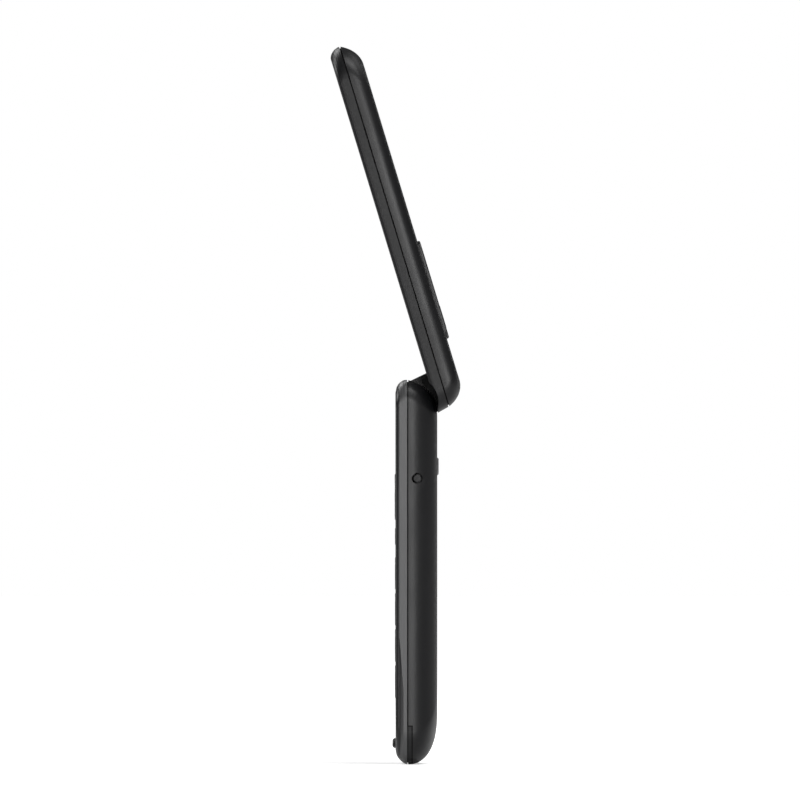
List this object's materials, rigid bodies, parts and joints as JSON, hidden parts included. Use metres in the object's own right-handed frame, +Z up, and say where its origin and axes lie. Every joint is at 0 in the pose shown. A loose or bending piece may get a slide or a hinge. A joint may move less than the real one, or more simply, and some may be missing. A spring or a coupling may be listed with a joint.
{
  "type": "flip phone",
  "caption": "Clamshell mobile phone, open: keypad half with battery cover, and a hinged lid with a display inside and a small display and camera outside.",
  "frame": {"origin": "centre of the flat back of the battery cover, which is the face that the phone lies on", "axes": "+Z up along the keypad half towards the hinge, +Y out of its back, +X its right side"},
  "size_m": [0.052, 0.0344, 0.1904],
  "materials": {
    "gloss_black": "polished black moulding",
    "band_grey": "satin dark grey painted side band",
    "frame_black": "moulded black",
    "satin_black": "fine satin black, slightly soft to the touch",
    "battery_wrap": "printed film",
    "contact_gold": "gold-plated springs in a moulding",
    "board_green": "solder resist",
    "tin_plate": "tinned sheet",
    "steel": "bright steel",
    "soft_rubber": "soft black rubber",
    "key_grey": "metallic grey painted keys",
    "key_ring": "silver-grey painted ring",
    "key_black": "smooth black keys with pale figures",
    "silicone": "translucent grey silicone",
    "switch_film": "clear film with metal domes",
    "card_white": "plain white card",
    "window_glass": "clear window, printed black behind its border",
    "display_panel": "dark display, switched off"
  },
  "bodies": {
    "base": {"keypad_fascia": "gloss_black", "base_front_case": "band_grey", "base_chassis": "frame_black", "battery_cover": "satin_black", "battery_pack": "battery_wrap", "battery_contacts": "contact_gold", "main_board": "board_green", "board_shields": "tin_plate", "charging_socket": "steel", "headset_socket": "frame_black", "base_bumpers": "soft_rubber", "base_screws": "steel", "hinge_pin": "steel", "hinge_bush": "frame_black", "keypad_mat": "silicone", "switch_sheet": "switch_film", "microphone": "tin_plate", "antenna_carrier": "frame_black", "vibration_motor": "steel", "loudspeaker": "frame_black", "sim_holder": "tin_plate", "sim_card": "card_white"},
    "lid": {"lid_inner_case": "satin_black", "lid_outer_case": "satin_black", "display_window": "window_glass", "display_module": "display_panel", "lid_board": "board_green", "outer_panel": "gloss_black", "outer_display": "display_panel", "camera_module": "frame_black", "camera_lens": "window_glass", "earpiece": "frame_black", "earpiece_mesh": "tin_plate", "lid_screws": "steel", "screw_plugs": "soft_rubber", "hinge_knuckle": "satin_black", "hinge_cartridge": "steel"},
    "side_key_body": {"side_key": "key_grey"},
    "rear_key_body": {"rear_key": "key_grey"},
    "volume_rocker_body": {"volume_rocker": "key_grey"},
    "nav_plate_body": {"nav_plate": "frame_black"},
    "nav_ring_body": {"nav_ring": "key_ring"},
    "ok_key_body": {"ok_key": "key_black"},
    "key_1_body": {"key_1": "key_black"},
    "key_2_body": {"key_2": "key_black"},
    "key_3_body": {"key_3": "key_black"},
    "key_4_body": {"key_4": "key_black"},
    "key_5_body": {"key_5": "key_black"},
    "key_6_body": {"key_6": "key_black"},
    "key_7_body": {"key_7": "key_black"},
    "key_8_body": {"key_8": "key_black"},
    "key_9_body": {"key_9": "key_black"},
    "key_star_body": {"key_star": "key_black"},
    "key_0_body": {"key_0": "key_black"},
    "key_hash_body": {"key_hash": "key_black"},
    "call_key_body": {"call_key": "key_black"},
    "end_key_body": {"end_key": "key_black"},
    "soft_key_left_body": {"soft_key_left": "key_black"},
    "soft_key_right_body": {"soft_key_right": "key_black"}
  },
  "joints": [
    {"name": "lid_hinge", "type": "hinge", "parent": "base", "child": "lid", "pos_m": [0, -0.0064, 0.045], "axis": [1, 0, 0], "range_deg": [0, 163.1]},
    {"name": "key_1_press", "type": "slide", "parent": "base", "child": "key_1_body", "axis": [0, 1, 0], "range_m": [0, 0.0003], "stiffness_N_per_m": 400},
    {"name": "key_2_press", "type": "slide", "parent": "base", "child": "key_2_body", "axis": [0, 1, 0], "range_m": [0, 0.0003], "stiffness_N_per_m": 400},
    {"name": "key_3_press", "type": "slide", "parent": "base", "child": "key_3_body", "axis": [0, 1, 0], "range_m": [0, 0.0003], "stiffness_N_per_m": 400},
    {"name": "key_4_press", "type": "slide", "parent": "base", "child": "key_4_body", "axis": [0, 1, 0], "range_m": [0, 0.0003], "stiffness_N_per_m": 400},
    {"name": "key_5_press", "type": "slide", "parent": "base", "child": "key_5_body", "axis": [0, 1, 0], "range_m": [0, 0.0003], "stiffness_N_per_m": 400},
    {"name": "key_6_press", "type": "slide", "parent": "base", "child": "key_6_body", "axis": [0, 1, 0], "range_m": [0, 0.0003], "stiffness_N_per_m": 400},
    {"name": "key_7_press", "type": "slide", "parent": "base", "child": "key_7_body", "axis": [0, 1, 0], "range_m": [0, 0.0003], "stiffness_N_per_m": 400},
    {"name": "key_8_press", "type": "slide", "parent": "base", "child": "key_8_body", "axis": [0, 1, 0], "range_m": [0, 0.0003], "stiffness_N_per_m": 400},
    {"name": "key_9_press", "type": "slide", "parent": "base", "child": "key_9_body", "axis": [0, 1, 0], "range_m": [0, 0.0003], "stiffness_N_per_m": 400},
    {"name": "key_star_press", "type": "slide", "parent": "base", "child": "key_star_body", "axis": [0, 1, 0], "range_m": [0, 0.0003], "stiffness_N_per_m": 400},
    {"name": "key_0_press", "type": "slide", "parent": "base", "child": "key_0_body", "axis": [0, 1, 0], "range_m": [0, 0.0003], "stiffness_N_per_m": 400},
    {"name": "key_hash_press", "type": "slide", "parent": "base", "child": "key_hash_body", "axis": [0, 1, 0], "range_m": [0, 0.0003], "stiffness_N_per_m": 400},
    {"name": "call_key_press", "type": "slide", "parent": "base", "child": "call_key_body", "axis": [0, 1, 0], "range_m": [0, 0.0003], "stiffness_N_per_m": 400},
    {"name": "end_key_press", "type": "slide", "parent": "base", "child": "end_key_body", "axis": [0, 1, 0], "range_m": [0, 0.0003], "stiffness_N_per_m": 400},
    {"name": "soft_key_left_press", "type": "slide", "parent": "base", "child": "soft_key_left_body", "axis": [0, 1, 0], "range_m": [0, 0.0003], "stiffness_N_per_m": 400},
    {"name": "soft_key_right_press", "type": "slide", "parent": "base", "child": "soft_key_right_body", "axis": [0, 1, 0], "range_m": [0, 0.0003], "stiffness_N_per_m": 400},
    {"name": "ok_key_press", "type": "slide", "parent": "base", "child": "ok_key_body", "axis": [0, 1, 0], "range_m": [0, 0.0003], "stiffness_N_per_m": 400},
    {"name": "side_key_press", "type": "slide", "parent": "base", "child": "side_key_body", "axis": [-1, 0, 0], "range_m": [0, 0.0003], "stiffness_N_per_m": 400},
    {"name": "rear_key_press", "type": "slide", "parent": "base", "child": "rear_key_body", "axis": [0, -1, 0], "range_m": [0, 0.0003], "stiffness_N_per_m": 400},
    {"name": "volume_rock", "type": "hinge", "parent": "base", "child": "volume_rocker_body", "pos_m": [-0.023, -0.00534, 0.014], "axis": [0, 1, 0], "range_deg": [-2, 2], "stiffness_Nm_per_rad": 0.02},
    {"name": "nav_tilt_sideways", "type": "hinge", "parent": "base", "child": "nav_plate_body", "pos_m": [0, -0.00962, 0.0199], "axis": [0, 0, 1], "range_deg": [-1.1, 1.1], "stiffness_Nm_per_rad": 0.02},
    {"name": "nav_tilt_lengthways", "type": "hinge", "parent": "nav_plate_body", "child": "nav_ring_body", "pos_m": [0, -0.00962, 0.0199], "axis": [1, 0, 0], "range_deg": [-2, 2], "stiffness_Nm_per_rad": 0.02}
  ]
}
